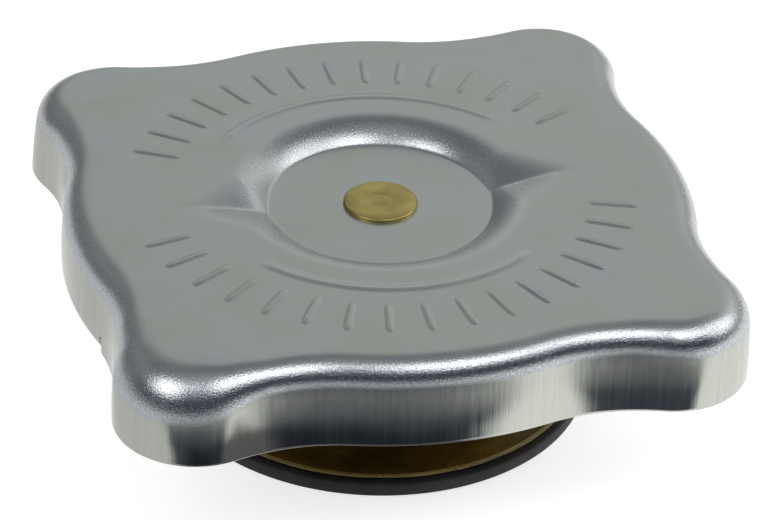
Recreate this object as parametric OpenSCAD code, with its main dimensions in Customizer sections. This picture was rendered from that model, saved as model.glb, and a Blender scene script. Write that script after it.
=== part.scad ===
// Pressure cap for a radiator filler neck: a square four-eared pressed cover with two
// bayonet lugs, and under it a swivelling valve unit with a pressure valve and a vacuum valve.
// Millimetres. +Z is up, and the origin is at the middle of the pressure gasket's sealing face.

/* [Overall] */
// Height from the sealing face of the pressure gasket to the top of the cover
overall_h = 23; // [21:0.5:30]
// Inner diameter of the filler neck's throat
throat_d = 46; // [42:0.5:48]
// Outer diameter of the filler neck's upper rim
neck_rim_d = 53.2; // [51:0.2:56]

/* [Cover] */
// Width of the cover between the middles of opposite sides
cover_w = 66; // [64:0.5:72]
// Width of the cover across two opposite ears
ear_span = 84.6; // [82:0.2:90]
// Radius of the bowed sides
side_r = 37; // [34:0.5:42]
// Radius of the ears
ear_r = 8.2; // [7:0.1:9.5]
// Radius of the dips between the sides and the ears
dip_r = 20.5; // [16:0.5:24]
// Height of the cover, from the top to the lower edge of the skirt
cover_h = 9.1; // [8:0.1:11]
// Thickness of the cover's sheet
cover_t = 1; // [0.7:0.1:1.2]
// Outer radius of the bend between the top and the skirt
edge_r = 2.7; // [2:0.1:3.5]

/* [Recess] */
// Depth of the round recess in the top
recess_depth = 2.2; // [1.8:0.1:2.6]
// Diameter of the recess floor
recess_d = 23; // [20:0.2:25]
// Slope of the recess wall, in degrees
recess_slope = 46; // [40:1:65]
// Radius where the top rolls over into the recess
recess_lip_r = 2; // [1.6:0.1:2.6]
// Radius at the foot of the recess wall
recess_foot_r = 0.5; // [0.3:0.1:1]
// Span between the tips of the two wings that run out of the recess
wing_span = 38; // [34:0.2:39]
// Slope of the wings along their run, in degrees
wing_slope = 13; // [10:0.5:16]
// Slope of the wings' two flanks, in degrees
wing_flank = 16; // [12:1:22]
// Radius of the crease along the middle of a wing
crease_r = 0.8; // [0.4:0.1:1.5]
// Radius of the two raised arcs between the recess and the ears
arc_r = 19.1; // [18.8:0.1:21]
// Width of the raised arcs
arc_w = 1.3; // [0.8:0.1:1.6]
// Height of the raised arcs
arc_h = 0.15; // [0.1:0.05:0.3]

/* [Bayonet lugs] */
// Width of each lug
lug_w = 17; // [12:0.5:18]
// Outer radius of the bend into the lug
lug_bend_r = 1.8; // [1.4:0.1:2.4]
// Width of the relief slot at each end of a lug
relief_w = 1.2; // [0.8:0.1:1.4]
// Height of the relief slots
relief_h = 3; // [2.5:0.1:4]

/* [Centre rivet] */
// Diameter of the shank
rivet_d = 5; // [4:0.1:6]
// Diameter of the head
rivet_head_d = 7.7; // [7:0.1:9]
// Height of the head
rivet_head_h = 0.75; // [0.5:0.05:1.2]
// Diameter of the upset tail
rivet_tail_d = 7.6; // [7:0.1:8.5]
// Height of the upset tail
rivet_tail_h = 1; // [0.8:0.1:1.5]
// Diameter of the washer under the tail
rivet_washer_d = 11; // [10:0.5:13]
// Thickness of that washer
rivet_washer_t = 0.6; // [0.5:0.1:0.8]

/* [Neck seal] */
// Thickness of the sprung disc
disc_t = 0.4; // [0.3:0.05:0.6]
// Drop of the sprung disc from its middle to its rim
disc_drop = 2; // [1:0.1:2.4]
// Width of the sprung disc's flat beyond the cage
disc_ledge = 0.4; // [0.2:0.1:2]
// Thickness of the neck gasket
neck_gasket_t = 1.5; // [1:0.1:1.7]

/* [Spring cage] */
// Outer diameter of the cage
cage_d = 30; // [29:0.5:33]
// Height of the cage
cage_h = 12; // [10.5:0.1:12.5]
// Thickness of the cage's sheet
cage_t = 0.8; // [0.6:0.1:0.9]
// Outer radius of the cage's upper bend
cage_bend_r = 2; // [1.4:0.1:2.4]
// Outer radius of the cage's lower bend
cage_lip_bend_r = 1.2; // [1:0.1:1.6]
// Number of windows in the cage wall
window_count = 4; // [3:1:6]
// Width of each window
window_w = 8; // [5:0.5:10]
// Height of each window
window_h = 4.6; // [3:0.1:5]

/* [Pressure valve] */
// Thickness of the pressure gasket
gasket_t = 1.5; // [1.2:0.1:2]
// Inner diameter of the pressure gasket
gasket_id = 22; // [20:0.5:26]
// Thickness of the valve plate's sheet
plate_t = 0.6; // [0.5:0.1:0.8]
// Diameter of the valve plate
plate_d = 43.8; // [43:0.2:44]
// Radius of the flared rim of the valve plate, at its underside
flare_r = 4.3; // [3.5:0.1:6]
// Width of the flared rim
flare_w = 1.9; // [1.4:0.1:2.4]
// Outer diameter of the valve cup
cup_d = 24.8; // [24:0.2:25.4]
// Thickness of the valve cup's sheet
cup_t = 0.7; // [0.5:0.1:0.8]
// Outer radius at the foot of the valve cup
cup_foot_r = 1.4; // [1:0.1:2]

/* [Springs] */
// Wire diameter of the pressure spring
spring_wire = 1.8; // [1.4:0.1:1.9]
// Mean diameter of the pressure spring
spring_d = 18.4; // [17:0.2:19]
// Turns of the pressure spring
spring_turns = 5; // [4:0.5:5.5]
// Wire diameter of the vacuum spring
vacuum_wire = 0.6; // [0.4:0.1:0.8]
// Mean diameter of the vacuum spring
vacuum_spring_d = 8; // [7.6:0.2:9]
// Turns of the vacuum spring
vacuum_turns = 5; // [4:0.5:6]
// Length of the vacuum spring as fitted
vacuum_spring_l = 5.6; // [4.8:0.1:6.4]

/* [Vacuum valve] */
// Diameter of the vacuum valve's disc
vacuum_d = 17.2; // [15:0.2:18]
// Thickness of the disc
vacuum_t = 0.75; // [0.6:0.05:0.9]
// Diameter of the stem
stem_d = 3; // [2.4:0.1:3.6]
// Length of stem above the clip
stem_end = 0.7; // [0.4:0.1:1.2]
// Inner diameter of the vacuum seal
vacuum_seal_id = 12.4; // [11.6:0.2:13]
// Thickness of the vacuum seal
vacuum_seal_t = 0.5; // [0.4:0.05:0.6]
// Bore of the eyelet
eyelet_id = 6; // [5:0.2:6.4]
// Wall of the eyelet
eyelet_wall = 0.8; // [0.5:0.1:0.9]
// Diameter of the eyelet's two flanges
eyelet_flange_d = 10.8; // [10.2:0.2:11.2]
// Thickness of the eyelet's lower flange
eyelet_low_t = 0.4; // [0.3:0.05:0.45]
// Thickness of the eyelet's upper flange
eyelet_high_t = 0.5; // [0.4:0.05:0.8]
// Diameter of the retaining clip
clip_d = 9.8; // [9.2:0.2:11]
// Thickness of the retaining clip
clip_t = 0.5; // [0.4:0.05:0.7]

/* [Hidden] */
$fn = 96;

// Clearances
throat_clearance = 0.6;
rim_clearance = 0.4;
rivet_clearance = 0.05;
swivel_play = 0.05;
cup_clearance = 0.4;
flange_clearance = 0.1;
seat_gap = 0.05;
wire_gap = 0.05;

// Levels of the cover and of what hangs under it
top_z = overall_h;
skirt_z = top_z - cover_h;
recess_z = top_z - recess_depth;
disc_z = recess_z - cover_t - swivel_play;
cage_z = disc_z - disc_t;
rivet_washer_z = cage_z - cage_t - swivel_play;
rivet_tail_z = rivet_washer_z - rivet_washer_t;
lip_z = cage_z - cage_h + cage_t;
rim_z = disc_z - disc_drop - disc_t;

// Levels of the pressure valve, from the sealing face up
plate_z = gasket_t;
cup_z = plate_z + plate_t;
cup_flange_z = lip_z + seat_gap;
spring_z = cup_z + cup_t;
eyelet_top_z = spring_z + eyelet_high_t;
clip_z = eyelet_top_z + vacuum_spring_l;
vacuum_z = plate_z - vacuum_seal_t - vacuum_t;

// Radii that follow from the fits
gasket_r = throat_d / 2 - throat_clearance;
neck_gasket_in_r = throat_d / 2 + throat_clearance / 3;
neck_gasket_r = neck_rim_d / 2;
cage_in_r = cage_d / 2 - cage_t;
lip_in_r = cup_d / 2 + cup_clearance;
cup_flange_r = cage_d / 2 - cage_lip_bend_r - flange_clearance;
disc_flat_r = cage_d / 2 + disc_ledge;
rivet_hole_r = rivet_d / 2 + rivet_clearance;
eyelet_r = eyelet_id / 2 + eyelet_wall;

// Centres of the arcs that draw one eighth of the cover: a side, a dip and an ear
cover_half = cover_w / 2;
ear_reach = ear_span / 2 - ear_r;
side_c = [cover_half - side_r, 0];
ear_c = ear_reach * [cos(45), sin(45)];
dip_c = outer_meeting(side_c, side_r + dip_r, ear_c, ear_r + dip_r);
side_angle = bearing(dip_c - side_c);
ear_angle = bearing(dip_c - ear_c);
lug_depth = cover_half - neck_rim_d / 2 - rim_clearance;
lug_angle = asin(lug_w / 2 / side_r);
relief_z = skirt_z + relief_h;
lug_set = 0.1;
lug_steps = 8;
side_steps = 10;
dip_steps = 6;
ear_steps = 12;

// The recess wall is the common tangent of the lip's and the foot's arcs
recess_floor_r = recess_d / 2;
recess_run = (recess_lip_r + recess_foot_r
    - (recess_lip_r + recess_foot_r - recess_depth) * cos(recess_slope)) / sin(recess_slope);
recess_r = recess_floor_r + recess_run;
wing_tip = wing_span / 2;
wing_run = recess_depth / sin(wing_slope);
cut_z = top_z + cover_t;

arc_points = 10;
crease_points = 4;
far_arc = [36, 140];
near_arc = [217, 310];

function polar(r, a) = r * [cos(a), sin(a)];
function bearing(v) = atan2(v.y, v.x);
function arc(c, r, from, to, n = arc_points) =
    [for (i = [0 : n]) c + polar(r, from + (to - from) * i / n)];

// Where two circles meet, on the right-hand side going from the first to the second
function outer_meeting(c1, r1, c2, r2) =
    let (d = norm(c2 - c1), u = (c2 - c1) / d, along = (r1 * r1 - r2 * r2 + d * d) / (2 * d))
    c1 + along * u + sqrt(r1 * r1 - along * along) * [u.y, -u.x];

// The cover's outline moved inwards, as points; each arc leaves its last point to the next one
function open_arc(c, r, from, to, n) = [for (i = [0 : n - 1]) c + polar(r, from + (to - from) * i / n)];
function quarter_outline(inset) = concat(
    open_arc(side_c, side_r - inset, -side_angle, side_angle, side_steps),
    open_arc(dip_c, dip_r + inset, side_angle + 180, ear_angle + 180, dip_steps),
    open_arc(ear_c, ear_r - inset, ear_angle, 90 - ear_angle, ear_steps),
    [for (p = open_arc(dip_c, dip_r + inset, ear_angle + 180, side_angle + 180, dip_steps)) [p.y, p.x]]);
function turned(p, a) = [p.x * cos(a) - p.y * sin(a), p.x * sin(a) + p.y * cos(a)];
function outline(inset) = [for (k = [0 : 3], p = quarter_outline(inset)) turned(p, 90 * k)];

// A bent strip of sheet, in section
module bend(r_out, t, from, to) {
    far = 2 * r_out;
    intersection() {
        difference() {
            circle(r_out);
            circle(r_out - t);
        }
        polygon([[0, 0], polar(far, from), polar(far, (from + to) / 2), polar(far, to)]);
    }
}

// Faces between rows of points that go round a section, or round the outline
function skin(rows, n) = [for (i = [0 : rows - 2], j = [0 : n - 1], half = [0, 1])
    let (a = i * n, b = (i + 1) * n, k = (j + 1) % n)
    half == 0 ? [a + j, b + k, a + k] : [a + j, b + j, b + k]];

// The cover as a solid block with a rounded upper edge, inside the outline by an inset
module cap_form(inset, low, steps) {
    section = concat([[inset, low]],
        arc([edge_r, top_z - edge_r], edge_r - inset, 180, 90, steps));
    rows = [for (s = section) [for (p = outline(s.x)) [p.x, p.y, s.y]]];
    n = len(rows[0]);
    m = len(rows);
    middles = [[0, 0, low], [0, 0, top_z - inset]];
    lids = [for (j = [0 : n - 1], half = [0, 1])
        let (k = (j + 1) % n)
        half == 0 ? [n * m, j, k] : [n * m + 1, (m - 1) * n + k, (m - 1) * n + j]];
    polyhedron(concat([for (r = rows) each r], middles), concat(skin(m, n), lids), convexity = 10);
}

// A lug: a strip of sheet that leaves the skirt, bends inwards and follows the side
module lug() {
    low = skirt_z + lug_bend_r;
    section = concat([[lug_depth, skirt_z]],
        arc([lug_bend_r, low], lug_bend_r - lug_set, 270, 180, 5),
        [[lug_set, relief_z + cover_t], [cover_t - lug_set, relief_z + cover_t]],
        arc([lug_bend_r, low], lug_bend_r - cover_t + lug_set, 180, 270, 4),
        [[lug_depth, skirt_z + cover_t]]);
    m = len(section);
    points = [for (i = [0 : lug_steps], s = section)
        let (p = side_c + polar(side_r - s.x, lug_angle * (1 - 2 * i / lug_steps))) [p.x, p.y, s.y]];
    first_end = [for (j = [0 : m - 1]) j];
    last_end = [for (j = [m - 1 : -1 : 0]) lug_steps * m + j];
    polyhedron(points, concat(skin(lug_steps + 1, m), [first_end, last_end]), convexity = 10);
}

// What is cut from the skirt for a lug and its two relief slots
module lug_gap() {
    translate([cover_half, 0, relief_z / 2]) cube([8 * cover_t, lug_w + 2 * relief_w, relief_z], center = true);
}

// The round recess as a solid, grown downwards by a sheet's thickness
module recess_form(grow) {
    lip_c = [recess_r, top_z - recess_lip_r];
    foot_c = [recess_floor_r, recess_z + recess_foot_r];
    rotate_extrude() polygon(concat(
        [[0, cut_z], [0, recess_z - grow]],
        arc(foot_c, recess_foot_r + grow, 270, 270 + recess_slope),
        arc(lip_c, recess_lip_r - grow, 90 + recess_slope, 90),
        [[recess_r, cut_z]]));
}

// The two wings as V-shaped bars that slope down into the recess and end just above its floor
module wing_form(grow) {
    low = recess_z + recess_foot_r / 2 - grow;
    crease = arc([0, crease_r], crease_r + grow, 270 - wing_flank, 270 + wing_flank, crease_points);
    section = concat([crease[0] + polar(cover_half, 180 - wing_flank)], crease,
        [crease[crease_points] + polar(cover_half, wing_flank)]);
    intersection() {
        for (k = [0, 1]) rotate(180 * k)
            translate([wing_tip, 0, top_z]) rotate([0, -wing_slope, 0]) translate([-wing_run, 0, 0])
                rotate([90, 0, 90]) linear_extrude(2 * wing_run) polygon(section);
        translate([0, 0, (low + cut_z) / 2]) cube([cover_w, cover_w, cut_z - low], center = true);
    }
}

module raised_arc(span) {
    bead_r = (arc_w * arc_w / 4 + arc_h * arc_h) / (2 * arc_h);
    rotate(span[0]) rotate_extrude(angle = span[1] - span[0])
        intersection() {
            translate([arc_r, top_z + arc_h - bead_r]) circle(bead_r);
            translate([arc_r - arc_w / 2, top_z - cover_t / 2]) square([arc_w, cover_t / 2 + arc_h]);
        }
}

module cover() {
    color("lightslategray") {
        difference() {
            cap_form(0, skirt_z, 7);
            difference() {
                cap_form(cover_t, skirt_z - cover_t, 5);
                recess_form(cover_t);
                wing_form(cover_t);
            }
            recess_form(0);
            wing_form(0);
            translate([0, 0, recess_z - 2 * cover_t]) cylinder(h = 3 * cover_t, d = rivet_d);
            for (k = [0, 1]) rotate(180 * k) lug_gap();
        }
        for (k = [0, 1]) rotate(180 * k) lug();
        raised_arc(far_arc);
        raised_arc(near_arc);
    }
}

module centre_rivet() {
    round_r = rivet_head_h / 3;
    head_r = rivet_head_d / 2;
    head_z = recess_z + rivet_head_h;
    tail_r = rivet_tail_d / 2;
    color("darkgoldenrod") rotate_extrude() polygon(concat(
        [[0, rivet_tail_z - rivet_tail_h], [rivet_d / 2, rivet_tail_z - rivet_tail_h],
            [tail_r, rivet_tail_z - rivet_tail_h / 2], [tail_r, rivet_tail_z],
            [rivet_d / 2, rivet_tail_z], [rivet_d / 2, recess_z], [head_r, recess_z]],
        arc([head_r - round_r, head_z - round_r], round_r, 0, 90, 4),
        [[0, head_z]]));
}

module ring(r_out, r_in, low, h) {
    translate([0, 0, low]) difference() {
        cylinder(h = h, r = r_out);
        translate([0, 0, -h]) cylinder(h = 3 * h, r = r_in);
    }
}

module rivet_washer() {
    color("goldenrod") ring(rivet_washer_d / 2, rivet_d / 2, rivet_tail_z, rivet_washer_t);
}

module neck_spring_disc() {
    upper = [[rivet_hole_r, disc_z], [disc_flat_r, disc_z],
        [neck_gasket_in_r - disc_t, disc_z - disc_drop], [neck_gasket_r, disc_z - disc_drop]];
    lower = [for (i = [len(upper) - 1 : -1 : 0]) upper[i] - [0, disc_t]];
    color("silver") rotate_extrude() polygon(concat(upper, lower));
}

module neck_gasket() {
    color("dimgray") ring(neck_gasket_r, neck_gasket_in_r, rim_z - neck_gasket_t, neck_gasket_t);
}

module spring_cage() {
    wall_r = cage_d / 2;
    low = lip_z - cage_t;
    color("goldenrod") difference() {
        rotate_extrude() {
            translate([rivet_hole_r, cage_z - cage_t]) square([wall_r - cage_bend_r - rivet_hole_r, cage_t]);
            translate([wall_r - cage_bend_r, cage_z - cage_bend_r]) bend(cage_bend_r, cage_t, 0, 90);
            translate([cage_in_r, low + cage_lip_bend_r])
                square([cage_t, cage_h - cage_bend_r - cage_lip_bend_r]);
            translate([wall_r - cage_lip_bend_r, low + cage_lip_bend_r])
                bend(cage_lip_bend_r, cage_t, 270, 360);
            translate([lip_in_r, low]) square([wall_r - cage_lip_bend_r - lip_in_r, cage_t]);
        }
        for (k = [0 : window_count - 1]) rotate(360 / window_count * (k + 0.5))
            translate([wall_r, 0, cage_z - cage_h / 2]) cube([4 * cage_t, window_w, window_h], center = true);
    }
}

// A wire wound on a helix, with its end turns closed
function spring_rise(turn, turns, height, closed) =
    let (body = (height - 2 * closed) / (turns - 2))
    turn < 1 ? closed * turn
    : turn > turns - 1 ? height - closed * (turns - turn)
    : closed + body * (turn - 1);

module coil_spring(mean_r, wire_r, low, length, turns, steps, sides) {
    rings = turns * steps;
    height = length - 2 * wire_r;
    points = [for (i = [0 : rings], j = [0 : sides - 1])
        let (a = 360 * i / steps, b = 360 * j / sides, r = mean_r + wire_r * cos(b))
        [r * cos(a), r * sin(a),
            low + wire_r + spring_rise(i / steps, turns, height, 2 * wire_r + wire_gap) + wire_r * sin(b)]];
    skin = [for (i = [0 : rings - 1], j = [0 : sides - 1])
        let (n = (j + 1) % sides)
        [i * sides + j, i * sides + n, (i + 1) * sides + n, (i + 1) * sides + j]];
    first_end = [for (j = [sides - 1 : -1 : 0]) j];
    last_end = [for (j = [0 : sides - 1]) rings * sides + j];
    polyhedron(points, concat([first_end, last_end], skin), convexity = 10);
}

module pressure_spring() {
    color("gainsboro") coil_spring(spring_d / 2, spring_wire / 2, spring_z, cage_z - cage_t - spring_z,
        spring_turns, 24, 10);
}

module valve_cup() {
    wall_r = cup_d / 2;
    color("goldenrod") rotate_extrude() {
        translate([eyelet_r, cup_z]) square([wall_r - cup_foot_r - eyelet_r, cup_t]);
        translate([wall_r - cup_foot_r, cup_z + cup_foot_r]) bend(cup_foot_r, cup_t, 270, 360);
        translate([wall_r - cup_t, cup_z + cup_foot_r])
            square([cup_t, cup_flange_z + cup_t - cup_z - cup_foot_r]);
        translate([wall_r - cup_t, cup_flange_z]) square([cup_flange_r - wall_r + cup_t, cup_t]);
    }
}

module valve_plate() {
    flat_r = plate_d / 2 - flare_w;
    flare = asin(flare_w / flare_r);
    color("darkgoldenrod") rotate_extrude() {
        translate([eyelet_r, plate_z]) square([flat_r - eyelet_r, plate_t]);
        translate([flat_r, plate_z + flare_r]) bend(flare_r, plate_t, 270, 270 + flare);
    }
}

module pressure_gasket() {
    color("#202020") ring(gasket_r, gasket_id / 2, 0, gasket_t);
}

module valve_eyelet() {
    flange_w = eyelet_flange_d / 2 - eyelet_id / 2;
    low = plate_z - eyelet_low_t;
    color("gold") rotate_extrude() translate([eyelet_id / 2, 0]) {
        translate([0, low]) square([eyelet_wall, eyelet_top_z - low]);
        translate([0, low]) square([flange_w, eyelet_low_t]);
        translate([0, spring_z]) square([flange_w, eyelet_high_t]);
    }
}

module vacuum_valve() {
    color("gold") {
        translate([0, 0, vacuum_z]) cylinder(h = vacuum_t, d = vacuum_d);
        translate([0, 0, vacuum_z]) cylinder(h = clip_z + clip_t + stem_end - vacuum_z, d = stem_d);
    }
}

module vacuum_seal() {
    color("#202020") ring(vacuum_d / 2, vacuum_seal_id / 2, vacuum_z + vacuum_t, vacuum_seal_t);
}

module vacuum_spring() {
    color("gainsboro") coil_spring(vacuum_spring_d / 2, vacuum_wire / 2, eyelet_top_z, vacuum_spring_l,
        vacuum_turns, 18, 8);
}

module vacuum_clip() {
    slot_w = stem_d / 4;
    color("silver") difference() {
        ring(clip_d / 2, stem_d / 2, clip_z, clip_t);
        for (k = [0 : 1]) rotate(90 * k)
            translate([0, 0, clip_z + clip_t / 2])
                cube([(clip_d + stem_d) / 2, slot_w, 2 * clip_t], center = true);
    }
}

cover();
centre_rivet();
rivet_washer();
neck_spring_disc();
neck_gasket();
spring_cage();
pressure_spring();
valve_cup();
valve_plate();
pressure_gasket();
valve_eyelet();
vacuum_valve();
vacuum_seal();
vacuum_spring();
vacuum_clip();
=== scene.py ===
# %% [markdown]
# # A pressed radiator cap
# The part is a square, four-eared steel cap with a spring valve under it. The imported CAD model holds
# the part's sizes and its moving bodies. This script dresses it: the pressed cover, the turned and
# pressed brass pieces, the wire springs and the rubber rings get smooth meshes with small edge radii,
# and procedural finishes. The part's shapes are drawn in millimetres and turned into metres as they
# enter Blender.

import math

import bmesh
import bpy
import numpy as np
from mathutils import Matrix, Vector


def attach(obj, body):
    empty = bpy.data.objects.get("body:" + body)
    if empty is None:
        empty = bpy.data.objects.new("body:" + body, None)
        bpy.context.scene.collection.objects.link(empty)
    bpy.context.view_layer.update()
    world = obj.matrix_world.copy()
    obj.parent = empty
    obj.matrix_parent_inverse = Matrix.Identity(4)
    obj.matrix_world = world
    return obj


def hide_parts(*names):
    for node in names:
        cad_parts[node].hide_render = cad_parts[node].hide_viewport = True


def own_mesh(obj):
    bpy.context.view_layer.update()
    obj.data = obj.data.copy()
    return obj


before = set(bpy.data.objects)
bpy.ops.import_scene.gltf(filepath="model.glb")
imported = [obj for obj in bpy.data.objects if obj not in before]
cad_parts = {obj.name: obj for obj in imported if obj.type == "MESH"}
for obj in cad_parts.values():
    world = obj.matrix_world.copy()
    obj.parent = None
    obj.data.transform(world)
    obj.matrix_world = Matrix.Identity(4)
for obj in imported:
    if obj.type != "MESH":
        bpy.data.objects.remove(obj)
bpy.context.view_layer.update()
MM = 0.001

# %% [markdown]
# ## From points to a mesh
# Nearly every piece is a grid: rows of points, each row a ring that closes on itself. One helper joins the
# rows with quads, so a lathe-turned ring, a bent strip and the whole cover use the same few lines.
# Smooth shading with sharp edges above an angle keeps cut edges crisp.

# %% Grid and mesh helpers
SHARP_ANGLE = math.radians(38)


def ring_faces(rows, columns, close_rows):
    """Quads between rows of a grid whose columns wrap round, and whose rows may wrap too."""
    last = rows if close_rows else rows - 1
    i, j = np.meshgrid(np.arange(last), np.arange(columns), indexing="ij")
    k, n = (i + 1) % rows, (j + 1) % columns
    quads = np.stack([i * columns + j, i * columns + n, k * columns + n, k * columns + j], axis=-1)
    return quads.reshape(-1, 4).tolist()


def grid_faces(rows, columns):
    """Quads between the rows of an open grid."""
    return [[i * columns + j, (i + 1) * columns + j, (i + 1) * columns + j + 1, i * columns + j + 1]
            for i in range(rows - 1) for j in range(columns - 1)]


def add_object(name, data):
    """A new object in the scene that holds this mesh, lamp or camera."""
    made = bpy.data.objects.new(name, data)
    bpy.context.scene.collection.objects.link(made)
    return made


def make_piece(name, points, faces, material=None, merge=0.0):
    """A smooth-shaded mesh object from points in millimetres, with its faces turned outwards."""
    mesh = bpy.data.meshes.new(name)
    mesh.from_pydata((np.asarray(points, float) * MM).tolist(), [], faces)
    work = bmesh.new()
    work.from_mesh(mesh)
    if merge:
        bmesh.ops.remove_doubles(work, verts=work.verts, dist=merge * MM)
    bmesh.ops.recalc_face_normals(work, faces=work.faces)
    work.to_mesh(mesh)
    work.free()
    mesh.shade_smooth()
    mesh.set_sharp_from_angle(angle=SHARP_ANGLE)
    piece = add_object(name, mesh)
    if material:
        mesh.materials.append(material)
    return piece


def freeze(piece, modifier):
    """Runs a modifier once and keeps its result as the piece's own mesh."""
    bpy.context.view_layer.update()
    seen = piece.evaluated_get(bpy.context.evaluated_depsgraph_get())
    mesh = bpy.data.meshes.new_from_object(seen)
    piece.modifiers.remove(modifier)
    piece.data = mesh


def dress(piece, body, slot, *nodes):
    """Rides a piece on its body, in place of the CAD nodes it stands for."""
    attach(piece, body)
    if nodes:
        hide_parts(*nodes)
    print(piece.name, "on", body, "-", len(piece.data.polygons), "faces")


print("a closed ring of 3 rows by 8 points has", len(ring_faces(3, 8, True)), "faces")

# %% [markdown]
# ## Shader groups
# Three effects make up the finishes: a fine grain with slow blotches of tone, streaks drawn
# along one axis by a forming tool, and rings left by turning. Each is a node group with named
# inputs, and each material places it with its own scale. They read Object coordinates, which are
# the part's own metres. An image texture would need unwrapped meshes; noise in metres doesn't.

# %% Shader groups
FLOAT = "NodeSocketFloat"


def new_group(name, inputs, outputs):
    group = bpy.data.node_groups.new(name, "ShaderNodeTree")
    for label, value in inputs.items():
        socket = group.interface.new_socket(label, in_out="INPUT", socket_type=FLOAT)
        socket.default_value = value
    for label in outputs:
        group.interface.new_socket(label, in_out="OUTPUT", socket_type=FLOAT)
    return group, group.nodes.new("NodeGroupInput"), group.nodes.new("NodeGroupOutput")


def node(tree, kind, **settings):
    made = tree.nodes.new(kind)
    for key, value in settings.items():
        setattr(made, key, value)
    return made


def plug(tree, value, socket):
    """Sets a socket to a number or a colour, or links another node's output to it."""
    if isinstance(value, (int, float)):
        socket.default_value = value
    elif isinstance(value, tuple):
        socket.default_value = (*value, 1.0)
    else:
        tree.links.new(value, socket)


def noise(tree, vector, scale, detail, rough):
    made = node(tree, "ShaderNodeTexNoise")
    for label, value in (("Vector", vector), ("Scale", scale), ("Detail", detail), ("Roughness", rough)):
        plug(tree, value, made.inputs[label])
    return made.outputs["Fac"]


def math_node(tree, operation, a, b=None, clamp=False):
    made = node(tree, "ShaderNodeMath", operation=operation, use_clamp=clamp)
    plug(tree, a, made.inputs[0])
    if b is not None:
        plug(tree, b, made.inputs[1])
    return made.outputs[0]


def build_grain():
    """Fine orange-peel grain, with slow blotches of tone."""
    group, start, end = new_group("Plating grain", {"Scale": 2500.0, "Blotch Scale": 120.0},
                                  ("Grain", "Blotch"))
    place = node(group, "ShaderNodeTexCoord").outputs["Object"]
    plug(group, noise(group, place, start.outputs["Scale"], 3.0, 0.6), end.inputs["Grain"])
    plug(group, noise(group, place, start.outputs["Blotch Scale"], 4.0, 0.6), end.inputs["Blotch"])
    return group


def build_streaks():
    """Lines drawn along Z: the noise is squeezed hard along that axis."""
    group, start, end = new_group("Draw lines", {"Scale": 1500.0, "Stretch": 0.03}, ("Lines",))
    place = node(group, "ShaderNodeTexCoord").outputs["Object"]
    squeeze = node(group, "ShaderNodeVectorMath", operation="MULTIPLY")
    factor = node(group, "ShaderNodeCombineXYZ")
    factor.inputs["X"].default_value = factor.inputs["Y"].default_value = 1.0
    group.links.new(start.outputs["Stretch"], factor.inputs["Z"])
    group.links.new(place, squeeze.inputs[0])
    group.links.new(factor.outputs[0], squeeze.inputs[1])
    plug(group, noise(group, squeeze.outputs[0], start.outputs["Scale"], 3.0, 0.7), end.inputs["Lines"])
    return group


def build_rings():
    """Fine turning rings round the cap's axis."""
    group, start, end = new_group("Turning rings", {"Scale": 3000.0}, ("Rings",))
    place = node(group, "ShaderNodeTexCoord").outputs["Object"]
    apart = node(group, "ShaderNodeSeparateXYZ")
    group.links.new(place, apart.inputs[0])
    square = [math_node(group, "MULTIPLY", apart.outputs[k], apart.outputs[k]) for k in ("X", "Y")]
    radius = math_node(group, "SQRT", math_node(group, "ADD", *square))
    along = node(group, "ShaderNodeCombineXYZ")
    group.links.new(radius, along.inputs["X"])
    group.links.new(apart.outputs["Z"], along.inputs["Y"])
    plug(group, noise(group, along.outputs[0], start.outputs["Scale"], 2.0, 0.6), end.inputs["Rings"])
    return group


GRAIN, STREAKS, RINGS = build_grain(), build_streaks(), build_rings()
print("shader groups:", [g.name for g in (GRAIN, STREAKS, RINGS)])

# %% [markdown]
# ## Material helpers
# A finish is a small node tree. These helpers place a group, spread a noise over a range of values,
# blend two looks by a mask painted on the mesh and turn a height into bump. Each finish further
# down then reads like a list of what it is made of.

# %% Material helpers
NOISE_SPAN = (0.3, 0.7)
MIX_A, MIX_B, MIX_RESULT = 6, 7, 2


def place_group(tree, group, **values):
    made = node(tree, "ShaderNodeGroup", node_tree=group)
    for key, value in values.items():
        made.inputs[key.replace("_", " ")].default_value = value
    return made


def new_material(name, metallic, roughness):
    material = bpy.data.materials.new(name)
    material.use_nodes = True
    tree = material.node_tree
    shader = tree.nodes["Principled BSDF"]
    shader.inputs["Metallic"].default_value = metallic
    shader.inputs["Roughness"].default_value = roughness
    return material, tree, shader


def painted(tree, name):
    """A mask that is written on the mesh as an attribute."""
    return node(tree, "ShaderNodeAttribute", attribute_name=name).outputs["Fac"]


def ramp(tree, value, stops):
    made = node(tree, "ShaderNodeValToRGB")
    elements = made.color_ramp.elements
    while len(elements) < len(stops):
        elements.new(0.5)
    for element, (place, colour) in zip(elements, stops):
        element.position, element.color = place, (*colour, 1.0)
    tree.links.new(value, made.inputs["Fac"])
    return made.outputs["Color"]


def spread(tree, value, low, high, out_low=0.0, out_high=1.0):
    made = node(tree, "ShaderNodeMapRange")
    for label, number in zip(("From Min", "From Max", "To Min", "To Max"), (low, high, out_low, out_high)):
        made.inputs[label].default_value = number
    tree.links.new(value, made.inputs["Value"])
    return made.outputs["Result"]


def blend_values(tree, factor, a, b):
    made = node(tree, "ShaderNodeMix", data_type="FLOAT")
    for label, value in (("Factor", factor), ("A", a), ("B", b)):
        plug(tree, value, made.inputs[label])
    return made.outputs["Result"]


def blend_colours(tree, factor, a, b):
    made = node(tree, "ShaderNodeMix", data_type="RGBA")
    for key, value in (("Factor", factor), (MIX_A, a), (MIX_B, b)):
        plug(tree, value, made.inputs[key])
    return made.outputs[MIX_RESULT]


def feed(tree, shader, colour, roughness):
    tree.links.new(colour, shader.inputs["Base Color"])
    tree.links.new(roughness, shader.inputs["Roughness"])


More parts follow.
